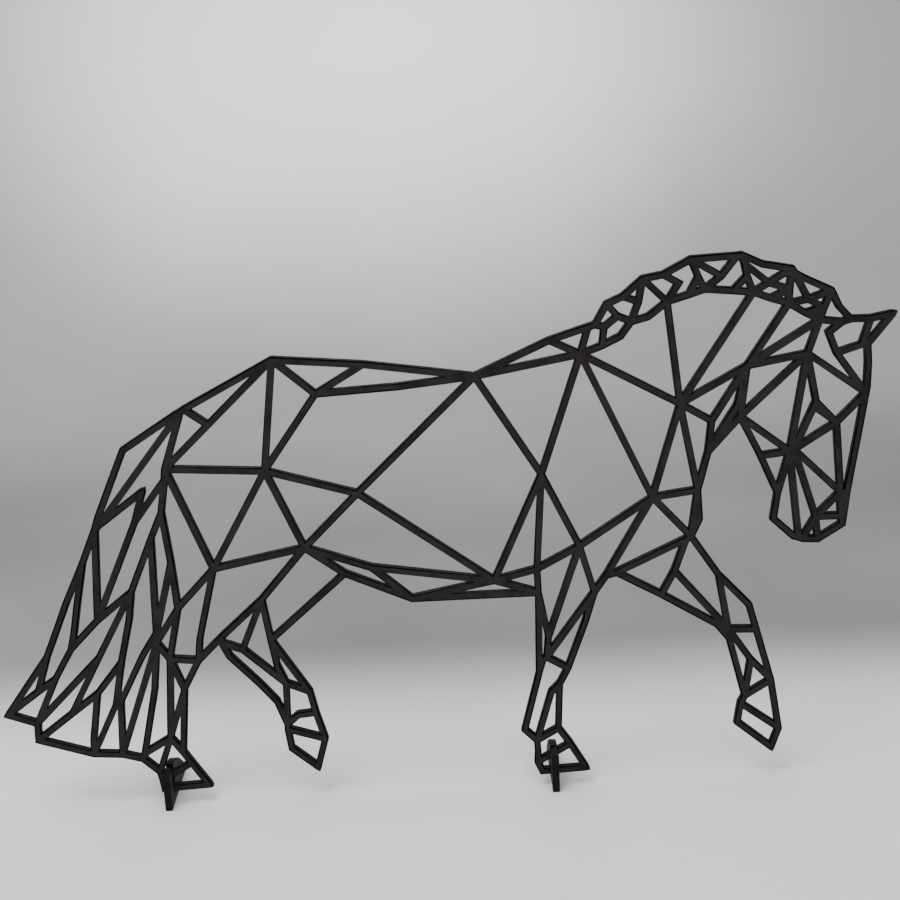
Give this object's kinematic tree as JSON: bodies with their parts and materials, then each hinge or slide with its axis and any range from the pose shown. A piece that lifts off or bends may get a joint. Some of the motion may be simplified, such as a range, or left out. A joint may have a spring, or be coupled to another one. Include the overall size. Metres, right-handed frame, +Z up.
{
  "type": "geometric horse sculpture",
  "caption": "Walking horse cut as a lattice of straight bars from one thin dark board, standing upright in two small slotted feet.",
  "frame": {"origin": "middle of the bounding box on the floor", "axes": "+X from the tail to the head, +Z up, the long tails of the feet point along +Y"},
  "size_m": [0.3664, 0.036, 0.2232],
  "materials": {
    "dark_board": "matt black stain",
    "dark_foot": "matt black stain, cut edge"
  },
  "bodies": {
    "root": {"horse": "dark_board", "hind_foot": "dark_foot", "fore_foot": "dark_foot"}
  },
  "joints": []
}
